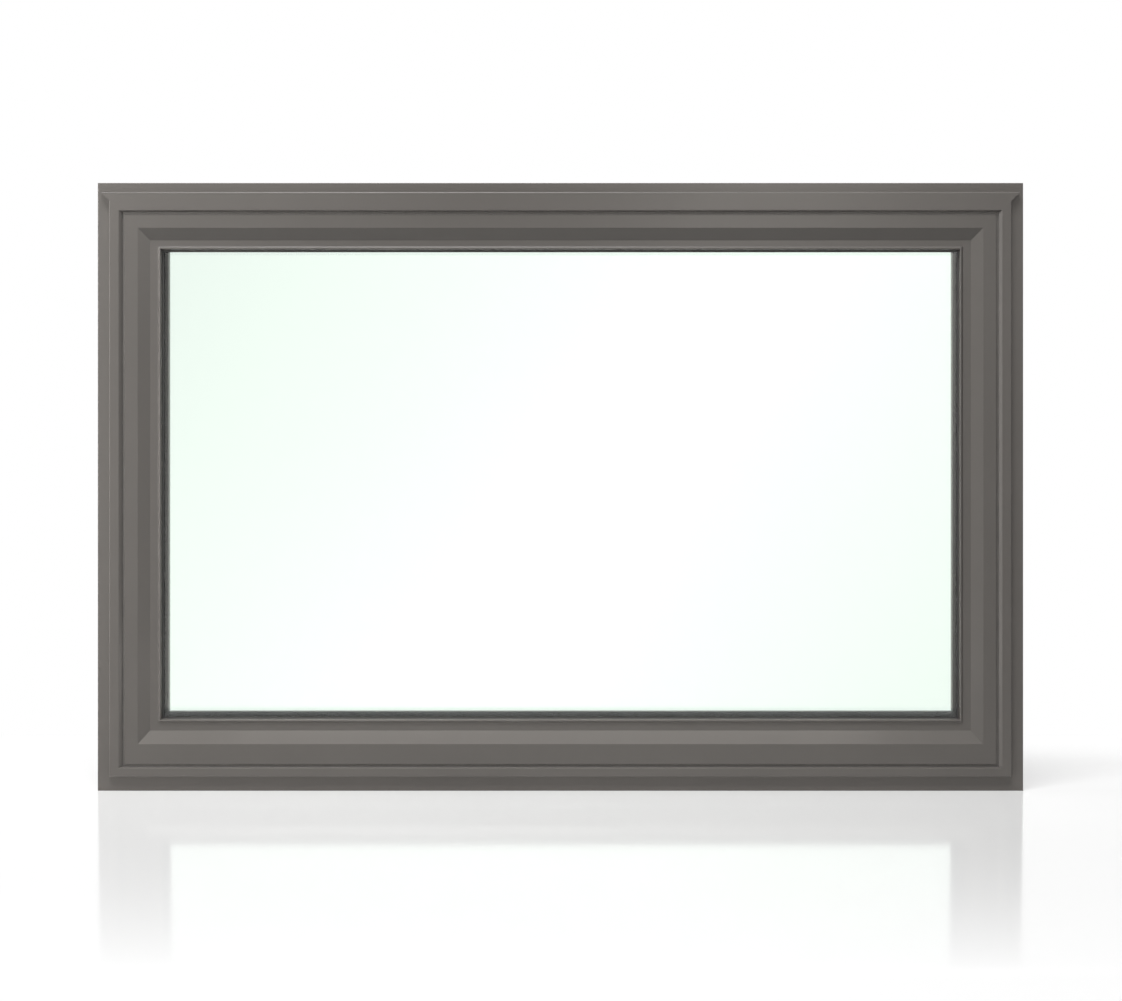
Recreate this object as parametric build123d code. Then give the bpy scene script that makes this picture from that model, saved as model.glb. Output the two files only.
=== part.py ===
"""Fixed rectangular window: stepped frame, bevelled sash and a sealed double pane.

Millimetres. +Z is up, the outside face looks along -Y, and the origin is at
the middle of the bottom of the window's bounding box.
"""

import os

from build123d import *

# Whole window
WIDTH = 1218.0
HEIGHT = 800.0

# Walls of the hollow vinyl sections
WALL = 2.4
WEB = 1.8

# Frame section, measured inward from the outer edge and back from the front
SHOULDER_DEPTH = 7.0
SHOULDER_SIDE = 16.8
SHOULDER_HEAD = 13.6
SHOULDER_SILL = 20.0
COVE_RADIUS = 2.0
FRAME_FLAT_SIDE = 12.0
FRAME_FLAT_HEAD = 23.1
FRAME_FLAT_SILL = 10.9
FRAME_EDGE_ROUND = 0.8
FRAME_BEVEL_SIDE = 4.2
FRAME_BEVEL_HEAD = 2.0
FRAME_BEVEL_SILL = 1.2
FRAME_BEVEL_DEPTH = 3.2
STOP_WIDTH = 15.6
STOP_THICKNESS = 22.5

# Sash section
SASH_GAP = 2.8
SASH_FACE_DEPTH = 3.0
SASH_FLAT_SIDE = 17.5
SASH_FLAT_TOP = 18.0
SASH_FLAT_BOTTOM = 26.9
SASH_BEVEL_SIDE = 15.2
SASH_BEVEL_TOP = 15.7
SASH_BEVEL_BOTTOM = 17.2
SASH_STEP_DEPTH = 10.0
SASH_STEP_SIDE = 10.1
SASH_STEP_TOP = 7.7
SASH_STEP_BOTTOM = 10.3
SASH_LIP_WIDTH = 4.0
SASH_LIP_SLOPE = 2.6
SASH_LIP_RISE = 2.4
SASH_LIP_ROUND = 0.6
SASH_NOSE_ROUND = 1.0
SASH_LIP_DRAFT = 1.0
SASH_EDGE_ROUND = 1.0
GLAZING_POCKET_EDGE = 17.0

# Sealed double pane
PANE_THICKNESS = 3.0
PANE_SPACING = 13.0
PANE_EDGE_CLEARANCE = 4.0
EDGE_SEAL_WIDTH = 4.5
SPACER_WIDTH = 6.5

# Gaskets and glazing bead
LIP_DEPTH = 16.0
GASKET_LIP = 1.9
GASKET_WIDTH = 12.0
GASKET_THICKNESS = 3.0
BEAD_LIP_SIDE = 4.5
BEAD_LIP_TOP = -1.8
BEAD_LIP_BOTTOM = 8.0
BEAD_THICKNESS = 15.0
BEAD_CHAMFER = 3.0

# Weather strip between sash and frame stop
STRIP_INSET = 3.0
STRIP_WIDTH = 7.0
STRIP_THICKNESS = 4.0

# Seal set back in the gap round the sash
GAP_SEAL_DEPTH = 4.4
GAP_SEAL_THICKNESS = 5.0

# Blocks that carry the sash and the pane
BLOCK_LENGTH = 80.0
BLOCK_INSET = 150.0
BLOCK_DEPTH = 16.0
BLOCK_START = 24.0

# Fixing holes through the jambs
FIXING_RADIUS = 3.0
FIXING_FROM_END = 150.0


def by_side(side, top, bottom):
    """One size for both upright sides, one for the top and one for the bottom."""
    return {"left": side, "right": side, "top": top, "bottom": bottom}


SHOULDER = by_side(SHOULDER_SIDE, SHOULDER_HEAD, SHOULDER_SILL)
FRAME_FLAT = by_side(FRAME_FLAT_SIDE, FRAME_FLAT_HEAD, FRAME_FLAT_SILL)
FRAME_BEVEL = by_side(FRAME_BEVEL_SIDE, FRAME_BEVEL_HEAD, FRAME_BEVEL_SILL)
SASH_FLAT = by_side(SASH_FLAT_SIDE, SASH_FLAT_TOP, SASH_FLAT_BOTTOM)
SASH_BEVEL = by_side(SASH_BEVEL_SIDE, SASH_BEVEL_TOP, SASH_BEVEL_BOTTOM)
SASH_STEP = by_side(SASH_STEP_SIDE, SASH_STEP_TOP, SASH_STEP_BOTTOM)
BEAD_LIP = by_side(BEAD_LIP_SIDE, BEAD_LIP_TOP, BEAD_LIP_BOTTOM)

# Depths back from the front plane, each layer resting on the one before it
PANE_FRONT_DEPTH = LIP_DEPTH + GASKET_THICKNESS
CAVITY_FRONT = PANE_FRONT_DEPTH + PANE_THICKNESS
CAVITY_BACK = CAVITY_FRONT + PANE_SPACING
PANE_BACK_DEPTH = CAVITY_BACK + PANE_THICKNESS
BEAD_FRONT = PANE_BACK_DEPTH + GASKET_THICKNESS
SASH_BACK_DEPTH = BEAD_FRONT + BEAD_THICKNESS
STOP_DEPTH = SASH_BACK_DEPTH + STRIP_THICKNESS
FIXING_DEPTH = STOP_DEPTH + STOP_THICKNESS / 2
DEPTH = STOP_DEPTH + STOP_THICKNESS

# Each side's drawing plane: first axis inward, second axis back from the front
FRONT = -DEPTH / 2
SIDE_PLANE = {
    "left": Plane((-WIDTH / 2, FRONT, 0), x_dir=(1, 0, 0), z_dir=(0, 0, 1)),
    "right": Plane((WIDTH / 2, FRONT, HEIGHT), x_dir=(-1, 0, 0), z_dir=(0, 0, -1)),
    "top": Plane((-WIDTH / 2, FRONT, HEIGHT), x_dir=(0, 0, -1), z_dir=(1, 0, 0)),
    "bottom": Plane((WIDTH / 2, FRONT, 0), x_dir=(0, 0, 1), z_dir=(-1, 0, 0)),
}
SIDE_LENGTH = {"left": HEIGHT, "right": HEIGHT, "top": WIDTH, "bottom": WIDTH}
NEIGHBOURS = {
    "left": ("bottom", "top"),
    "right": ("bottom", "top"),
    "top": ("left", "right"),
    "bottom": ("left", "right"),
}


# Distances inward from the outer edge, side by side
def outer_edge(side):
    return 0.0


def shoulder_end(side):
    return SHOULDER[side]


def flat_end(side):
    return shoulder_end(side) + FRAME_FLAT[side]


def mitre_kink(side):
    """Where the mitre leaves its square run, level with the head's shoulder."""
    return flat_end(side) - FRAME_FLAT_HEAD


def pocket_wall(side):
    return flat_end(side) + FRAME_BEVEL[side]


def stop_edge(side):
    return pocket_wall(side) + STOP_WIDTH


def sash_edge(side):
    return pocket_wall(side) + SASH_GAP


def bevel_start(side):
    return sash_edge(side) + SASH_FLAT[side]


def bevel_end(side):
    return bevel_start(side) + SASH_BEVEL[side]


def lip_start(side):
    return bevel_end(side) + SASH_STEP[side]


def sash_nose(side):
    return lip_start(side) + SASH_LIP_WIDTH


def glazing_floor(side):
    return sash_nose(side) - GLAZING_POCKET_EDGE


def pane_edge(side):
    return glazing_floor(side) + PANE_EDGE_CLEARANCE


def seal_end(side):
    return pane_edge(side) + EDGE_SEAL_WIDTH


def spacer_end(side):
    return seal_end(side) + SPACER_WIDTH


def gasket_end(side):
    return sash_nose(side) + SASH_LIP_DRAFT + GASKET_LIP


def bead_end(side):
    return sash_nose(side) + BEAD_LIP[side]


def corner_point(side_a, inset_a, side_b, inset_b):
    """Elevation point whose inset from side_a and side_b is given."""
    inset = {side_a: inset_a, side_b: inset_b}
    if "left" in inset:
        x = -WIDTH / 2 + inset["left"]
    else:
        x = WIDTH / 2 - inset["right"]
    if "bottom" in inset:
        z = inset["bottom"]
    else:
        z = HEIGHT - inset["top"]
    return (x, z)


def mitre_prism(side, stations):
    """Block whose ends follow the mitre lines through the given stations."""
    first, second = NEIGHBOURS[side]
    near = [corner_point(side, s(side), first, s(first)) for s in stations]
    far = [corner_point(side, s(side), second, s(second)) for s in stations]
    points = near + far[::-1]
    wire = Wire.make_polygon([(x, FRONT - 1, z) for x, z in points], close=True)
    return extrude(Face(wire), amount=DEPTH + 2, dir=(0, 1, 0))


def outline(points):
    return Wire.make_polygon([(u, w, 0) for u, w in points], close=True)


def section(points, rounds=(), chambers=()):
    """Flat section from corner points, with rounded corners and hollow chambers."""
    face = Face(outline(points))
    for corner, radius in rounds:
        vertex = face.vertices().sort_by_distance((corner[0], corner[1], 0))[0]
        face = face.fillet_2d(radius, [vertex])
    if chambers:
        face = Face(face.outer_wire(), [outline(chamber) for chamber in chambers])
    return face


def rectangle(near, far, front, back):
    return [(near, front), (far, front), (far, back), (near, back)]


def member(side, face, stations):
    """Straight bar of the section along one side, cut to its mitre lines."""
    bar = extrude(SIDE_PLANE[side] * face, amount=SIDE_LENGTH[side])
    return (bar & mitre_prism(side, stations)).solid()


FRAME_STATIONS = (outer_edge, mitre_kink, flat_end, pocket_wall, stop_edge)
SASH_STATIONS = (sash_edge, bevel_start, bevel_end, lip_start, gasket_end)


def frame_chambers(side):
    """Front chamber that fills the raised flat, two behind it and one in the stop."""
    shoulder = shoulder_end(side) + WALL
    shelf = SHOULDER_DEPTH + WALL
    far = pocket_wall(side) - WALL
    pitch = (STOP_DEPTH - shelf + WEB) / 3
    front_back = shelf + pitch - WEB
    front_chamber = [
        (WALL, shelf),
        (shoulder, shelf),
        (shoulder, WALL),
        (flat_end(side) - WALL, WALL),
        (far, FRAME_BEVEL_DEPTH + WALL),
        (far, front_back),
        (WALL, front_back),
    ]
    middle = rectangle(WALL, far, shelf + pitch, shelf + 2 * pitch - WEB)
    rear = rectangle(WALL, far, shelf + 2 * pitch, STOP_DEPTH)
    stop = rectangle(WALL, stop_edge(side) - WALL, STOP_DEPTH + WALL, DEPTH - WALL)
    return [front_chamber, middle, rear, stop]


def frame_section(side):
    shoulder = shoulder_end(side)
    flat = flat_end(side)
    wall = pocket_wall(side)
    stop = stop_edge(side)
    return section(
        [
            (0, SHOULDER_DEPTH),
            (shoulder, SHOULDER_DEPTH),
            (shoulder, 0),
            (flat, 0),
            (wall, FRAME_BEVEL_DEPTH),
            (wall, STOP_DEPTH),
            (stop, STOP_DEPTH),
            (stop, DEPTH),
            (0, DEPTH),
        ],
        [
            ((0, SHOULDER_DEPTH), FRAME_EDGE_ROUND),
            ((shoulder, SHOULDER_DEPTH), COVE_RADIUS),
            ((shoulder, 0), FRAME_EDGE_ROUND),
            ((flat, 0), FRAME_EDGE_ROUND),
            ((stop, STOP_DEPTH), FRAME_EDGE_ROUND),
        ],
        frame_chambers(side),
    )


def sash_chambers(side):
    """Front chamber behind the face and bevel, and two beside the glazing pocket."""
    near = sash_edge(side) + WALL
    far = glazing_floor(side) - WALL
    start = LIP_DEPTH + WEB
    pitch = (SASH_BACK_DEPTH - WALL - start + WEB) / 2
    front_chamber = [
        (near, SASH_FACE_DEPTH + WALL),
        (bevel_start(side), SASH_FACE_DEPTH + WALL),
        (far, SASH_STEP_DEPTH + WALL),
        (far, LIP_DEPTH),
        (near, LIP_DEPTH),
    ]
    middle = rectangle(near, far, start, start + pitch - WEB)
    rear = rectangle(near, far, start + pitch, SASH_BACK_DEPTH - WALL)
    return [front_chamber, middle, rear]


def sash_section(side):
    outer = sash_edge(side)
    lip = lip_start(side)
    nose = sash_nose(side)
    floor = glazing_floor(side)
    crest = SASH_STEP_DEPTH - SASH_LIP_RISE
    return section(
        [
            (outer, SASH_FACE_DEPTH),
            (bevel_start(side), SASH_FACE_DEPTH),
            (bevel_end(side), SASH_STEP_DEPTH),
            (lip, SASH_STEP_DEPTH),
            (lip + SASH_LIP_SLOPE, crest),
            (nose, crest),
            (nose + SASH_LIP_DRAFT, LIP_DEPTH),
            (floor, LIP_DEPTH),
            (floor, SASH_BACK_DEPTH),
            (outer, SASH_BACK_DEPTH),
        ],
        [
            ((outer, SASH_FACE_DEPTH), SASH_EDGE_ROUND),
            ((lip + SASH_LIP_SLOPE, crest), SASH_LIP_ROUND),
            ((nose, crest), SASH_NOSE_ROUND),
            ((outer, SASH_BACK_DEPTH), SASH_EDGE_ROUND),
        ],
        sash_chambers(side),
    )


def rectangle_section(near, far, front, back):
    return section(rectangle(near, far, front, back))


def bead_section(side):
    floor = glazing_floor(side)
    end = bead_end(side)
    return section(
        [
            (floor, BEAD_FRONT),
            (end, BEAD_FRONT),
            (end, SASH_BACK_DEPTH - BEAD_CHAMFER),
            (end - BEAD_CHAMFER, SASH_BACK_DEPTH),
            (floor, SASH_BACK_DEPTH),
        ]
    )


parts = {}
MEMBER_NAMES = {
    "top": ("frame_head", "sash_top_rail"),
    "bottom": ("frame_sill", "sash_bottom_rail"),
    "left": ("frame_jamb_left", "sash_left_stile"),
    "right": ("frame_jamb_right", "sash_right_stile"),
}


def strip_near(side):
    return sash_edge(side) + STRIP_INSET


def strip_far(side):
    return strip_near(side) + STRIP_WIDTH


for side, (frame_name, sash_name) in MEMBER_NAMES.items():
    parts[frame_name] = member(side, frame_section(side), FRAME_STATIONS)
    parts[sash_name] = member(side, sash_section(side), SASH_STATIONS)
    parts["gap_seal_" + side] = member(
        side,
        rectangle_section(
            pocket_wall(side),
            sash_edge(side),
            GAP_SEAL_DEPTH,
            GAP_SEAL_DEPTH + GAP_SEAL_THICKNESS,
        ),
        (pocket_wall, sash_edge),
    )
    parts["weather_strip_" + side] = member(
        side,
        rectangle_section(
            strip_near(side), strip_far(side), SASH_BACK_DEPTH, STOP_DEPTH
        ),
        (strip_near, strip_far),
    )
    parts["outer_gasket_" + side] = member(
        side,
        rectangle_section(
            gasket_end(side) - GASKET_WIDTH,
            gasket_end(side),
            LIP_DEPTH,
            PANE_FRONT_DEPTH,
        ),
        (glazing_floor, gasket_end),
    )
    parts["inner_gasket_" + side] = member(
        side,
        rectangle_section(
            glazing_floor(side), bead_end(side), PANE_BACK_DEPTH, BEAD_FRONT
        ),
        (glazing_floor, bead_end),
    )
    parts["glazing_bead_" + side] = member(
        side, bead_section(side), (glazing_floor, bead_end)
    )
    parts["edge_seal_" + side] = member(
        side,
        rectangle_section(pane_edge(side), seal_end(side), CAVITY_FRONT, CAVITY_BACK),
        (pane_edge, seal_end),
    )
    parts["spacer_bar_" + side] = member(
        side,
        rectangle_section(seal_end(side), spacer_end(side), CAVITY_FRONT, CAVITY_BACK),
        (seal_end, spacer_end),
    )


def pane(front):
    """Glass sheet whose edges keep their clearance all round."""
    width = WIDTH - pane_edge("left") - pane_edge("right")
    height = HEIGHT - pane_edge("top") - pane_edge("bottom")
    sheet = Box(width, PANE_THICKNESS, height)
    middle_z = pane_edge("bottom") + height / 2
    return Pos(0, FRONT + front + PANE_THICKNESS / 2, middle_z) * sheet


parts["outer_pane"] = pane(PANE_FRONT_DEPTH)
parts["inner_pane"] = pane(CAVITY_BACK)


def block(name, x, side, near, far, front, depth):
    """Packing block between two insets on the sill side."""
    height = far(side) - near(side)
    solid = Box(BLOCK_LENGTH, depth, height)
    middle_z = near(side) + height / 2
    if side == "top":
        middle_z = HEIGHT - middle_z
    parts[name] = Pos(x, FRONT + front + depth / 2, middle_z) * solid


BLOCK_X = WIDTH / 2 - BLOCK_INSET
for label, x in (("left", -BLOCK_X), ("right", BLOCK_X)):
    block(
        "sash_block_" + label,
        x,
        "bottom",
        pocket_wall,
        sash_edge,
        BLOCK_START,
        BLOCK_DEPTH,
    )
    block(
        "pane_block_" + label,
        x,
        "bottom",
        glazing_floor,
        pane_edge,
        PANE_FRONT_DEPTH,
        PANE_BACK_DEPTH - PANE_FRONT_DEPTH,
    )

# Fixing holes, two through each jamb behind the sash
for frame_name, sign in (("frame_jamb_left", -1), ("frame_jamb_right", 1)):
    for z in (FIXING_FROM_END, HEIGHT - FIXING_FROM_END):
        drill = Cylinder(FIXING_RADIUS, 4 * stop_edge("left"))
        hole = Pos(sign * WIDTH / 2, FRONT + FIXING_DEPTH, z) * Rot(0, 90, 0) * drill
        parts[frame_name] = (parts[frame_name] - hole).solid()

os.makedirs("parts", exist_ok=True)
for name, solid in parts.items():
    solid.label = name
    export_step(solid, "parts/" + name + ".step")
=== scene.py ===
import math

import bpy
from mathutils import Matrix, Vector

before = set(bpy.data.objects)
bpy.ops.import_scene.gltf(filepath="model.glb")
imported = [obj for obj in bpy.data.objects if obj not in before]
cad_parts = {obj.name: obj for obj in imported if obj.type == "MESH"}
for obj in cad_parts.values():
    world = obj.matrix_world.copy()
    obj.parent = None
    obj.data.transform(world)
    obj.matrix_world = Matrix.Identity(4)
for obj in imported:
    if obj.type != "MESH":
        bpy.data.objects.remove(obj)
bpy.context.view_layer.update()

# The photograph's frame in pixels, and where the window's outline lies in it
PHOTO_WIDTH = 1122
PHOTO_HEIGHT = 1001
OUTLINE_LEFT = 97.7
OUTLINE_RIGHT = 1023.2
OUTLINE_TOP = 183.3
OUTLINE_BOTTOM = 790.4

# The window in metres: its front face, and the outer shoulder that makes the outline
WIDTH = 1.218
HEIGHT = 0.8
FRONT_Y = -0.04125
SHOULDER_DEPTH = 0.007
SHOULDER_Y = FRONT_Y + SHOULDER_DEPTH

# The camera: distance from the front face in metres, and sensor width in millimetres
CAMERA_DISTANCE = 2.7
CAMERA_CLIP_END = 200.0
SENSOR_WIDTH = 36.0

# Colours of the materials, linear
FRAME_COLOUR = (0.0997, 0.0922, 0.0858)
SASH_COLOUR = (0.0952, 0.0882, 0.0820)
# The bead is the frame's vinyl. It is painted darker to stand in for the shade in the recess
# behind the glass, and warmer to offset the glass's green cast
BEAD_COLOUR_PAINTED_SHADE = (0.083, 0.066, 0.058)
OUTER_GASKET_COLOUR = (0.012, 0.012, 0.012)
INNER_GASKET_COLOUR = (0.020, 0.012, 0.006)
STRIP_COLOUR = (0.018, 0.018, 0.018)
# The gap seal's dark grey is partly the rubber's own colour and partly painted shade for the
# groove round the sash
SEAL_COLOUR_PAINTED_SHADE = (0.045, 0.042, 0.039)
SEALANT_COLOUR = (0.015, 0.015, 0.016)
SPACER_COLOUR = (0.62, 0.63, 0.63)
BLOCK_COLOUR = (0.04, 0.04, 0.042)
GLASS_CLEAR = (0.925, 0.980, 0.944)
GLASS_FAINT = (0.915, 0.976, 0.936)

# Least and most roughness over each surface
VINYL_ROUGHNESS = (0.31, 0.38)
GASKET_ROUGHNESS = (0.54, 0.68)
STRIP_ROUGHNESS = (0.64, 0.78)
SEAL_ROUGHNESS = (0.49, 0.63)
METAL_ROUGHNESS = (0.28, 0.4)
BLOCK_ROUGHNESS = (0.45, 0.6)

# Noise scales, per metre
CLOUD_SCALE = 9.0
GRAIN_SCALE = 1400.0
DRAWN_LINE_SCALE = 260.0
DUST_SCALE = 60.0
RUBBER_SKIN_SCALE = 2200.0
METAL_LINE_SCALE = 900.0
MOTTLE_SCALE = 300.0
GLASS_DRIFT_SCALE = 1.6

# Stretch of the noise that draws fine lines along a bar
ALONG_X = (0.02, 1, 1)
ALONG_Z = (1, 1, 0.02)

# The coating: rounding of its edges in metres, how far its colour spreads, and its reflectivity
COATING_ROUND = 0.0022
COATING_SPREAD = 0.035
COATING_SPECULAR = 0.3
SOLID_IOR = 1.5

# How squarely a surface faces the front where it counts as a slope, and where as a flat
SLOPE_FACING = 0.8
FLAT_FACING = 0.9

# The floor: its white, its own light from the window forwards, and its faint mirror image
FLOOR_SIZE = 80.0
FLOOR_GREY = 0.5
FLOOR_GLOW_NEAR = 0.615
FLOOR_GLOW_FRONT = 0.455
FLOOR_GLOW_FRONT_Y = -1.1
FLOOR_GLOSS = 0.36
FLOOR_ROUGHNESS = 0.09
FLOOR_TILT = math.radians(1.5)
MIRROR_REACH = 1.05
MIRROR_FADE_POWER = 3.0
MIRROR_BEHIND_END_Y = 0.5
MIRROR_LEFT_SHARE = 0.95
MIRROR_RIGHT_SHARE = 1.2
MIRROR_HALF_WIDTH = 0.6
PLAIN_WHITE_BEHIND = (0.12, 0.6)
PLAIN_WHITE_AROUND = (1.5, 3.0)

# The surroundings, as they light the window
WORLD_LIGHT = 0.13

# The glowing sheets that reflections show: their light, and how near the floor they start
WARM_WHITE = (1.0, 0.968, 0.93)
SHEET_LOW = 0.005

# The front sheet: a glow that leans over the glass, and patches beside it and over it
FRONT_CARD_Y = -1.04
FRONT_CARD_HALF_WIDTH = 2.0
FRONT_CARD_HIGH = 2.6
BAND_LEAN = math.radians(32.2)
BAND_PLACE = -0.138
GLASS_GLOW = 1.3
GLASS_GLOW_LEAST = 0.05
GLASS_GLOW_FADE = (0.1, 0.88)
HEAD_GLOW = 6.0
HEAD_BAND_SHIFT = 0.11
HEAD_BAND_FADE = (0.06, 0.22)
CORNER_GLOW = 4.0
CORNER_FADE = (-0.8, -0.58)
BESIDE_GLASS_FADE = (-0.82, -0.74)
OVER_GLASS_FADE = (0.85, 0.92)

# The side sheet, on the left
SIDE_CARD_X = -0.95
SIDE_CARD_FRONT_Y = -0.27
SIDE_CARD_BACK_Y = -0.1
SIDE_CARD_HIGH = 1.1
SIDE_GLOW = 22.0
SIDE_GLOW_FOOT_SHARE = 0.5

# The narrow sheet close to the sash's bottom bevel
SILL_CARD_HALF_WIDTH = 0.44
SILL_CARD_Y = -0.126
SILL_CARD_LOW = 0.121
SILL_CARD_HIGH = 0.185
SILL_GLOW = 4.6

# Words in a node's name and the material they mean; the first word that fits counts
MATERIAL_BY_WORD = {
    "inner_pane": "glass",
    "outer_pane": "glass",
    "block": "block",
    "outer_gasket": "outer_gasket",
    "inner_gasket": "inner_gasket",
    "weather_strip": "strip",
    "gap_seal": "seal",
    "edge_seal": "sealant",
    "spacer_bar": "spacer",
    "glazing_bead": "bead",
    "sash": "sash",
    "frame": "frame",
}
LINED_MATERIALS = ("spacer", "bead", "sash", "frame")


def make_camera():
    """Level camera in front of the window that puts its outline where the photograph has it."""
    metres_per_pixel = WIDTH / (OUTLINE_RIGHT - OUTLINE_LEFT)
    centre_x = (OUTLINE_LEFT + OUTLINE_RIGHT) / 2
    centre_y = (OUTLINE_TOP + OUTLINE_BOTTOM) / 2
    outline_distance = CAMERA_DISTANCE + SHOULDER_DEPTH
    data = bpy.data.cameras.new("camera")
    data.sensor_fit = "HORIZONTAL"
    data.sensor_width = SENSOR_WIDTH
    data.lens = SENSOR_WIDTH * outline_distance / (metres_per_pixel * PHOTO_WIDTH)
    data.clip_end = CAMERA_CLIP_END
    camera = bpy.data.objects.new("camera", data)
    camera.location = (
        (PHOTO_WIDTH / 2 - centre_x) * metres_per_pixel,
        FRONT_Y - CAMERA_DISTANCE,
        HEIGHT / 2 - (PHOTO_HEIGHT / 2 - centre_y) * metres_per_pixel,
    )
    camera.rotation_euler = (math.radians(90), 0, 0)
    bpy.context.collection.objects.link(camera)
    bpy.context.scene.camera = camera


def new_material(name):
    """Material with an empty node tree."""
    material = bpy.data.materials.new(name)
    material.use_nodes = True
    tree = material.node_tree
    tree.nodes.clear()
    return material, tree


def add(tree, kind, sockets=None, **properties):
    """New node with its properties and the plain values of its sockets set."""
    node = tree.nodes.new(kind)
    for key, value in properties.items():
        setattr(node, key, value)
    for key, value in (sockets or {}).items():
        node.inputs[key].default_value = value
    return node


def maths(tree, operation, first, second=None):
    """Math node on outputs or plain numbers."""
    node = add(tree, "ShaderNodeMath", operation=operation)
    for socket, value in zip(node.inputs, (first, second)):
        if isinstance(value, float):
            socket.default_value = value
        elif value is not None:
            tree.links.new(value, socket)
    return node.outputs[0]


def times(tree, first, second):
    """Product of two outputs."""
    return maths(tree, "MULTIPLY", first, second)


def plus(tree, first, second):
    """Sum of outputs or plain numbers."""
    return maths(tree, "ADD", first, second)


def larger(tree, first, second):
    """Larger of two outputs."""
    return maths(tree, "MAXIMUM", first, second)


def ramp(tree, source, low, high, start=0.3, end=0.7):
    """Low where the source is at start or before, high at end or after, and even between."""
    ends = {"From Min": start, "From Max": end, "To Min": low, "To Max": high}
    node = add(tree, "ShaderNodeMapRange", ends)
    tree.links.new(source, node.inputs["Value"])
    return node.outputs["Result"]


def noise(tree, scale, detail=3.0, stretch=(1, 1, 1)):
    """Noise fixed to the object, finer or coarser along the axes that stretch changes."""
    coordinates = add(tree, "ShaderNodeTexCoord")
    mapping = add(tree, "ShaderNodeMapping", {"Scale": stretch})
    tree.links.new(coordinates.outputs["Object"], mapping.inputs["Vector"])
    node = add(tree, "ShaderNodeTexNoise", {"Scale": scale, "Detail": detail})
    tree.links.new(mapping.outputs["Vector"], node.inputs["Vector"])
    return node.outputs["Fac"]


def tinted(tree, source, dark, light):
    """Colour between dark and light, as the source goes from zero to one."""
    colours = {"A": (*dark, 1), "B": (*light, 1)}
    node = add(tree, "ShaderNodeMix", colours, data_type="RGBA")
    tree.links.new(source, node.inputs["Factor"])
    return node.outputs["Result"]


def bump(tree, source, strength, distance, below=None):
    """Normal raised by the source, on top of the one below where there is one."""
    node = add(tree, "ShaderNodeBump", {"Strength": strength, "Distance": distance})
    tree.links.new(source, node.inputs["Height"])
    if below is not None:
        tree.links.new(below, node.inputs["Normal"])
    return node.outputs["Normal"]


def finish_surface(tree, shader):
    """Shader linked to the material's output."""
    output = add(tree, "ShaderNodeOutputMaterial")
    tree.links.new(shader, output.inputs["Surface"])


def principled(tree, colour, roughness=None, normal=None, sockets=None):
    """Principled surface with outputs linked to some sockets and plain values in others."""
    shader = add(tree, "ShaderNodeBsdfPrincipled", sockets)
    linked = {"Base Color": colour, "Roughness": roughness, "Normal": normal}
    for key, source in linked.items():
        if source is not None:
            tree.links.new(source, shader.inputs[key])
    finish_surface(tree, shader.outputs["BSDF"])


def scaled(colour, share, lift=0.0):
    """Colour with each channel multiplied and lifted, and kept to one at most."""
    return tuple(min(1.0, channel * share + lift) for channel in colour)


def softened_slopes(tree):
    """Normals rounded over the slopes and edges, and left alone on the front flats."""
    softened = add(tree, "ShaderNodeBevel", {"Radius": COATING_ROUND}, samples=6)
    surface = add(tree, "ShaderNodeNewGeometry")
    facing = add(tree, "ShaderNodeVectorMath", operation="DOT_PRODUCT")
    facing.inputs[1].default_value = (0, -1, 0)
    tree.links.new(surface.outputs["Normal"], facing.inputs[0])
    flatness = ramp(tree, facing.outputs["Value"], 0.0, 1.0, SLOPE_FACING, FLAT_FACING)
    choice = add(tree, "ShaderNodeMix", data_type="VECTOR")
    tree.links.new(flatness, choice.inputs["Factor"])
    tree.links.new(softened.outputs["Normal"], choice.inputs["A"])
    tree.links.new(surface.outputs["Normal"], choice.inputs["B"])
    return choice.outputs["Result"]


def vinyl(name, colour, along):
    """Satin coated vinyl bar with softened edges, faint drawn lines and a fine grain."""
    material, tree = new_material(name)
    cloud = noise(tree, CLOUD_SCALE, detail=4.0)
    grain = noise(tree, GRAIN_SCALE, detail=2.0)
    lines = noise(tree, DRAWN_LINE_SCALE, stretch=along)
    dark = scaled(colour, 1 - COATING_SPREAD)
    light = scaled(colour, 1 + COATING_SPREAD)
    softened = softened_slopes(tree)
    drawn = bump(tree, lines, strength=0.05, distance=0.0002, below=softened)
    principled(
        tree,
        colour=tinted(tree, ramp(tree, cloud, 0.0, 1.0), dark, light),
        roughness=ramp(tree, grain, *VINYL_ROUGHNESS),
        normal=bump(tree, grain, strength=0.06, distance=0.0001, below=drawn),
        sockets={"IOR": SOLID_IOR, "Specular IOR Level": COATING_SPECULAR},
    )
    return material


def rubber(name, colour, roughness):
    """Matte black rubber with a dusty, slightly uneven skin."""
    material, tree = new_material(name)
    dust = noise(tree, DUST_SCALE, detail=5.0)
    skin = noise(tree, RUBBER_SKIN_SCALE, detail=2.0)
    dusty = scaled(colour, share=1.5, lift=0.004)
    principled(
        tree,
        colour=tinted(tree, ramp(tree, dust, 0.0, 1.0), colour, dusty),
        roughness=ramp(tree, dust, *roughness),
        normal=bump(tree, skin, strength=0.1, distance=0.0001),
        sockets={"IOR": SOLID_IOR},
    )
    return material


def metal(name, colour, along):
    """Mill-finish aluminium with fine lines along the bar."""
    material, tree = new_material(name)
    lines = noise(tree, METAL_LINE_SCALE, stretch=along)
    principled(
        tree,
        colour=tinted(tree, lines, colour, scaled(colour, share=1.08)),
        roughness=ramp(tree, lines, *METAL_ROUGHNESS),
        normal=bump(tree, lines, strength=0.08, distance=0.0001),
        sockets={"Metallic": 1.0},
    )
    return material


def moulded(name, colour):
    """Moulded plastic with a slight mottle."""
    material, tree = new_material(name)
    mottle = noise(tree, MOTTLE_SCALE, detail=4.0)
    principled(
        tree,
        colour=tinted(tree, mottle, colour, scaled(colour, share=1.25)),
        roughness=ramp(tree, mottle, *BLOCK_ROUGHNESS),
        normal=bump(tree, mottle, strength=0.08, distance=0.0002),
    )
    return material


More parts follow.
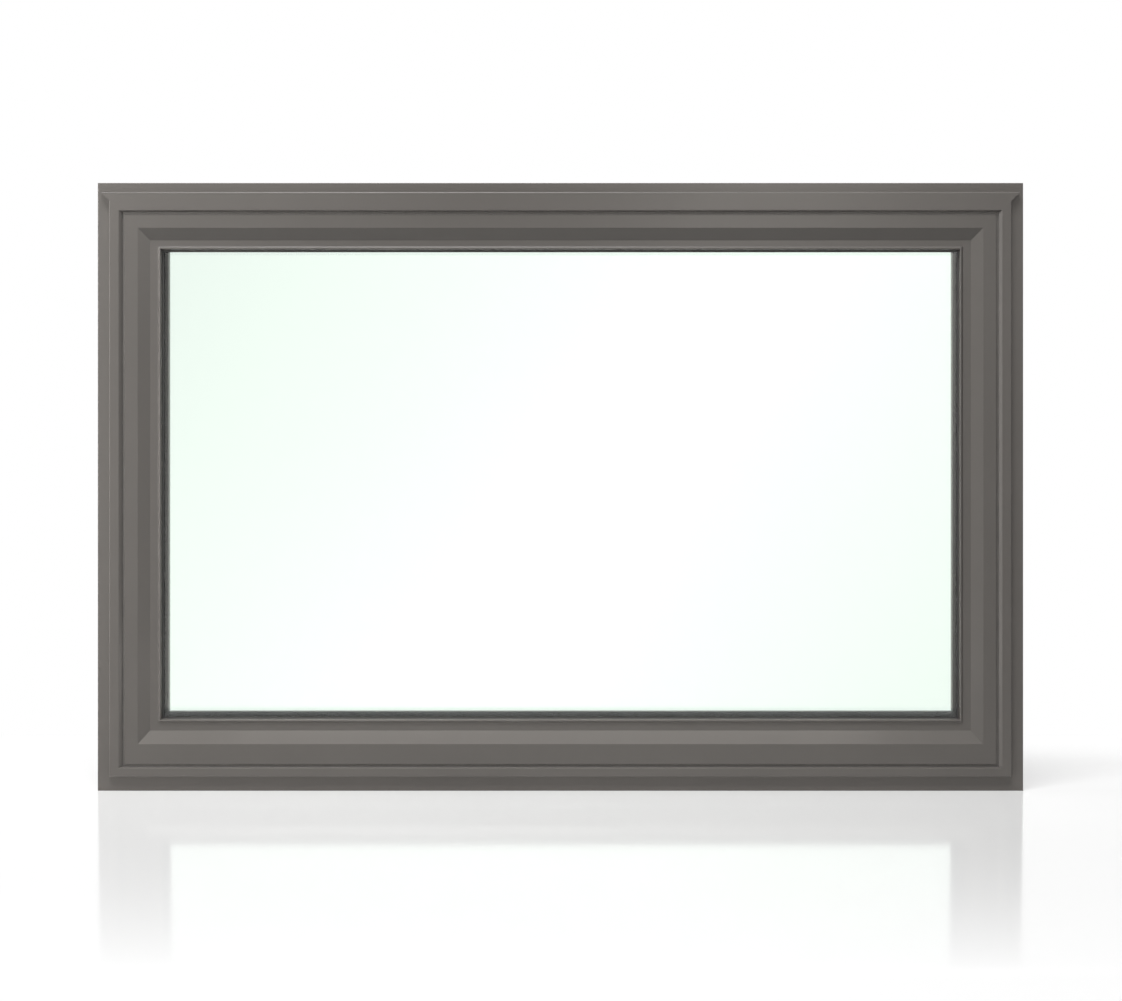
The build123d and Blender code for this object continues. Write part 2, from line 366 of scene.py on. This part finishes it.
def float_glass(name, clear, faint):
    """Clear float glass with a faint green cast that shifts a little over the pane."""
    material, tree = new_material(name)
    drift = noise(tree, GLASS_DRIFT_SCALE, detail=1.0)
    principled(
        tree,
        colour=tinted(tree, ramp(tree, drift, 0.0, 1.0), clear, faint),
        sockets={"IOR": SOLID_IOR, "Roughness": 0.0, "Transmission Weight": 1.0},
    )
    return material


def make_materials():
    """Every material by its short name; bars with lines along them have one for each way."""
    materials = {
        "outer_gasket": rubber("outer_gasket_rubber", OUTER_GASKET_COLOUR, GASKET_ROUGHNESS),
        "inner_gasket": rubber("inner_gasket_rubber", INNER_GASKET_COLOUR, GASKET_ROUGHNESS),
        "strip": rubber("strip_rubber", STRIP_COLOUR, STRIP_ROUGHNESS),
        # Seal rubber darkened as painted shade in the groove round the sash
        "seal": rubber("seal_rubber", SEAL_COLOUR_PAINTED_SHADE, SEAL_ROUGHNESS),
        "sealant": rubber("edge_sealant", SEALANT_COLOUR, SEAL_ROUGHNESS),
        "block": moulded("block_plastic", BLOCK_COLOUR),
        "glass": float_glass("pane_glass", GLASS_CLEAR, GLASS_FAINT),
    }
    for way, along in (("_x", ALONG_X), ("_z", ALONG_Z)):
        materials["frame" + way] = vinyl("frame_vinyl" + way, FRAME_COLOUR, along)
        materials["sash" + way] = vinyl("sash_vinyl" + way, SASH_COLOUR, along)
        # The bead's vinyl carries painted shade: it is darker than the frame's
        materials["bead" + way] = vinyl("bead_vinyl" + way, BEAD_COLOUR_PAINTED_SHADE, along)
        materials["spacer" + way] = metal("spacer_metal" + way, SPACER_COLOUR, along)
    return materials


def material_name_for(name):
    """Short name of the material for a node of the frame."""
    chosen = next(MATERIAL_BY_WORD[word] for word in MATERIAL_BY_WORD if word in name)
    if chosen not in LINED_MATERIALS:
        return chosen
    upright = name.endswith(("left", "right")) or "jamb" in name or "stile" in name
    return chosen + ("_z" if upright else "_x")


def assign_materials():
    """Each node of the frame gets its material."""
    materials = make_materials()
    for name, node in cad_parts.items():
        node.data.materials.clear()
        node.data.materials.append(materials[material_name_for(name)])


def seen_rays(tree):
    """One where a surface is looked at, directly, in a reflection or through glass."""
    path = add(tree, "ShaderNodeLightPath")
    total = path.outputs["Is Camera Ray"]
    for name in ("Is Glossy Ray", "Is Transmission Ray"):
        total = larger(tree, total, path.outputs[name])
    return total


def glow(tree, strength, colour=(1, 1, 1)):
    """Light of its own, with a plain number or an output as its strength."""
    node = add(tree, "ShaderNodeEmission", {"Color": (*colour, 1)})
    if isinstance(strength, float):
        node.inputs["Strength"].default_value = strength
    else:
        tree.links.new(strength, node.inputs["Strength"])
    return node.outputs[0]


def mixed(tree, factor, first, second):
    """First shader where the factor is zero, second where it is one."""
    node = add(tree, "ShaderNodeMixShader")
    tree.links.new(factor, node.inputs["Fac"])
    tree.links.new(first, node.inputs[1])
    tree.links.new(second, node.inputs[2])
    return node.outputs[0]


def place_on_object(tree):
    """The object's own coordinates, whole and split into axes."""
    place = add(tree, "ShaderNodeTexCoord").outputs["Object"]
    split = add(tree, "ShaderNodeSeparateXYZ")
    tree.links.new(place, split.inputs[0])
    return place, split.outputs


def floor_mirror(tree):
    """Slightly blurred mirror, tilted towards the front."""
    mirror = add(tree, "ShaderNodeBsdfGlossy", {"Roughness": FLOOR_ROUGHNESS})
    lean = {"Y": -math.sin(FLOOR_TILT), "Z": math.cos(FLOOR_TILT)}
    tilt = add(tree, "ShaderNodeCombineXYZ", lean)
    tree.links.new(tilt.outputs[0], mirror.inputs["Normal"])
    return mirror.outputs[0]


def floor_gloss(tree, axes):
    """Share of the mirror: fades forwards and behind, and is a little stronger to the right."""
    depth = axes["Y"]
    forwards = ramp(tree, depth, 0.0, 1.0, SHOULDER_Y, SHOULDER_Y - MIRROR_REACH)
    faded = maths(tree, "POWER", forwards, MIRROR_FADE_POWER)
    fades_behind = ramp(tree, depth, 1.0, 0.0, SHOULDER_Y, MIRROR_BEHIND_END_Y)
    gloss = times(tree, ramp(tree, faded, FLOOR_GLOSS, 0.0, 0.0, 1.0), fades_behind)
    sides = (MIRROR_LEFT_SHARE, MIRROR_RIGHT_SHARE, -MIRROR_HALF_WIDTH, MIRROR_HALF_WIDTH)
    return times(tree, gloss, ramp(tree, axes["X"], *sides))


def make_floor():
    """Wide white floor: plain white far away, a faint mirror image in front of the window."""
    bpy.ops.mesh.primitive_plane_add(size=FLOOR_SIZE, location=(0, 0, 0))
    floor = bpy.context.object
    floor.name = "floor"
    material, tree = new_material("floor_white")
    place, axes = place_on_object(tree)
    seen = seen_rays(tree)

    forwards = (FLOOR_GLOW_NEAR, FLOOR_GLOW_FRONT, SHOULDER_Y, FLOOR_GLOW_FRONT_Y)
    own_light = times(tree, seen, ramp(tree, axes["Y"], *forwards))
    grey = (FLOOR_GREY, FLOOR_GREY, FLOOR_GREY, 1)
    diffuse = add(tree, "ShaderNodeBsdfDiffuse", {"Color": grey})
    lit = add(tree, "ShaderNodeAddShader")
    tree.links.new(glow(tree, own_light), lit.inputs[0])
    tree.links.new(diffuse.outputs[0], lit.inputs[1])
    near = mixed(tree, floor_gloss(tree, axes), lit.outputs[0], floor_mirror(tree))

    reach = add(tree, "ShaderNodeVectorMath", operation="LENGTH")
    tree.links.new(place, reach.inputs[0])
    behind = ramp(tree, axes["Y"], 0.0, 1.0, *PLAIN_WHITE_BEHIND)
    around = ramp(tree, reach.outputs["Value"], 0.0, 1.0, *PLAIN_WHITE_AROUND)
    far = times(tree, seen, larger(tree, behind, around))
    finish_surface(tree, mixed(tree, far, near, glow(tree, 1.0)))
    floor.data.materials.append(material)


def make_world():
    """Even white surroundings: white where seen, softer where they light the window."""
    world = bpy.data.worlds.new("studio")
    bpy.context.scene.world = world
    world.use_nodes = True
    tree = world.node_tree
    tree.nodes.clear()
    strength = ramp(tree, seen_rays(tree), WORLD_LIGHT, 1.0, 0.0, 1.0)
    background = add(tree, "ShaderNodeBackground", {"Color": (1, 1, 1, 1)})
    tree.links.new(strength, background.inputs["Strength"])
    output = add(tree, "ShaderNodeOutputWorld")
    tree.links.new(background.outputs[0], output.inputs["Surface"])


def upright_corners(start, end, low, high):
    """Corners of an upright sheet between two places on the floor, each an x and a y."""
    return [(*start, low), (*end, low), (*end, high), (*start, high)]


def reflected_sheet(name, corners, material):
    """Sheet that only reflections and sight through glass show."""
    mesh = bpy.data.meshes.new(name)
    mesh.from_pydata(corners, [], [(0, 1, 2, 3)])
    mesh.materials.append(material)
    sheet = bpy.data.objects.new(name, mesh)
    bpy.context.collection.objects.link(sheet)
    sheet.visible_camera = False
    sheet.visible_diffuse = False
    sheet.visible_shadow = False


def make_front_card():
    """Soft leaning glow that the glass reflects, with brighter patches meant for the frame."""
    material, tree = new_material("front_card_light")
    place, axes = place_on_object(tree)
    lean = add(tree, "ShaderNodeVectorMath", operation="DOT_PRODUCT")
    lean.inputs[1].default_value = (math.cos(BAND_LEAN), 0, -math.sin(BAND_LEAN))
    tree.links.new(place, lean.inputs[0])
    across = maths(tree, "SUBTRACT", lean.outputs["Value"], BAND_PLACE)
    away = maths(tree, "ABSOLUTE", across)
    soft = ramp(tree, away, GLASS_GLOW, GLASS_GLOW_LEAST, *GLASS_GLOW_FADE)
    off_band = maths(tree, "ABSOLUTE", plus(tree, across, HEAD_BAND_SHIFT))
    band = ramp(tree, off_band, HEAD_GLOW, 0.0, *HEAD_BAND_FADE)
    corner = ramp(tree, across, CORNER_GLOW, 0.0, *CORNER_FADE)
    beside = ramp(tree, axes["X"], 1.0, 0.0, *BESIDE_GLASS_FADE)
    over = ramp(tree, axes["Z"], 0.0, 1.0, *OVER_GLASS_FADE)
    on_head = times(tree, over, band)
    on_corner = times(tree, larger(tree, beside, over), corner)
    strength = plus(tree, plus(tree, on_head, on_corner), plus(tree, soft, 1.0))
    finish_surface(tree, glow(tree, strength, WARM_WHITE))
    left = (-FRONT_CARD_HALF_WIDTH, FRONT_CARD_Y)
    right = (FRONT_CARD_HALF_WIDTH, FRONT_CARD_Y)
    corners = upright_corners(left, right, SHEET_LOW, FRONT_CARD_HIGH)
    reflected_sheet("front_card", corners, material)


def make_side_card():
    """Bright upright sheet on the left, caught by the edges that face it."""
    material, tree = new_material("side_card_light")
    axes = place_on_object(tree)[1]
    foot_glow = SIDE_GLOW_FOOT_SHARE * SIDE_GLOW
    strength = ramp(tree, axes["Z"], foot_glow, SIDE_GLOW, 0.0, HEIGHT)
    finish_surface(tree, glow(tree, strength, WARM_WHITE))
    front = (SIDE_CARD_X, SIDE_CARD_FRONT_Y)
    back = (SIDE_CARD_X, SIDE_CARD_BACK_Y)
    corners = upright_corners(front, back, SHEET_LOW, SIDE_CARD_HIGH)
    reflected_sheet("side_card", corners, material)


def make_sill_card():
    """Narrow sheet facing the sash's bottom bevel, with no back and not shown by the glass."""
    material, tree = new_material("sill_card_light")
    path = add(tree, "ShaderNodeLightPath")
    surface = add(tree, "ShaderNodeNewGeometry")
    hidden = larger(tree, path.outputs["Is Singular Ray"], surface.outputs["Backfacing"])
    clear = add(tree, "ShaderNodeBsdfTransparent")
    light = glow(tree, SILL_GLOW, WARM_WHITE)
    finish_surface(tree, mixed(tree, hidden, light, clear.outputs[0]))
    right = (SILL_CARD_HALF_WIDTH, SILL_CARD_Y)
    left = (-SILL_CARD_HALF_WIDTH, SILL_CARD_Y)
    corners = upright_corners(right, left, SILL_CARD_LOW, SILL_CARD_HIGH)
    reflected_sheet("sill_card", corners, material)


def area_light(name, place, aim, size, power):
    """Rectangular lamp at a place, turned towards its aim."""
    data = bpy.data.lights.new(name, "AREA")
    data.energy = power
    data.shape = "RECTANGLE"
    data.size, data.size_y = size
    light = bpy.data.objects.new(name, data)
    light.location = place
    direction = Vector(aim) - Vector(place)
    light.rotation_euler = direction.to_track_quat("-Z", "Y").to_euler()
    bpy.context.collection.objects.link(light)


def make_lamps():
    """Large lamp high in front, and a weak one low on the left."""
    area_light(
        "key_above",
        place=(-0.6, -2.1, 5.4),
        aim=(0.0, 0.0, 0.35),
        size=(2.2, 1.4),
        power=305.0,
    )
    area_light(
        "fill_left",
        place=(-3.9, -1.8, 1.2),
        aim=(-0.1, 0.0, 0.4),
        size=(2.6, 2.6),
        power=24.0,
    )


assign_materials()
make_camera()
make_floor()
make_world()
make_front_card()
make_side_card()
make_sill_card()
make_lamps()
bpy.context.scene.view_settings.view_transform = "Standard"
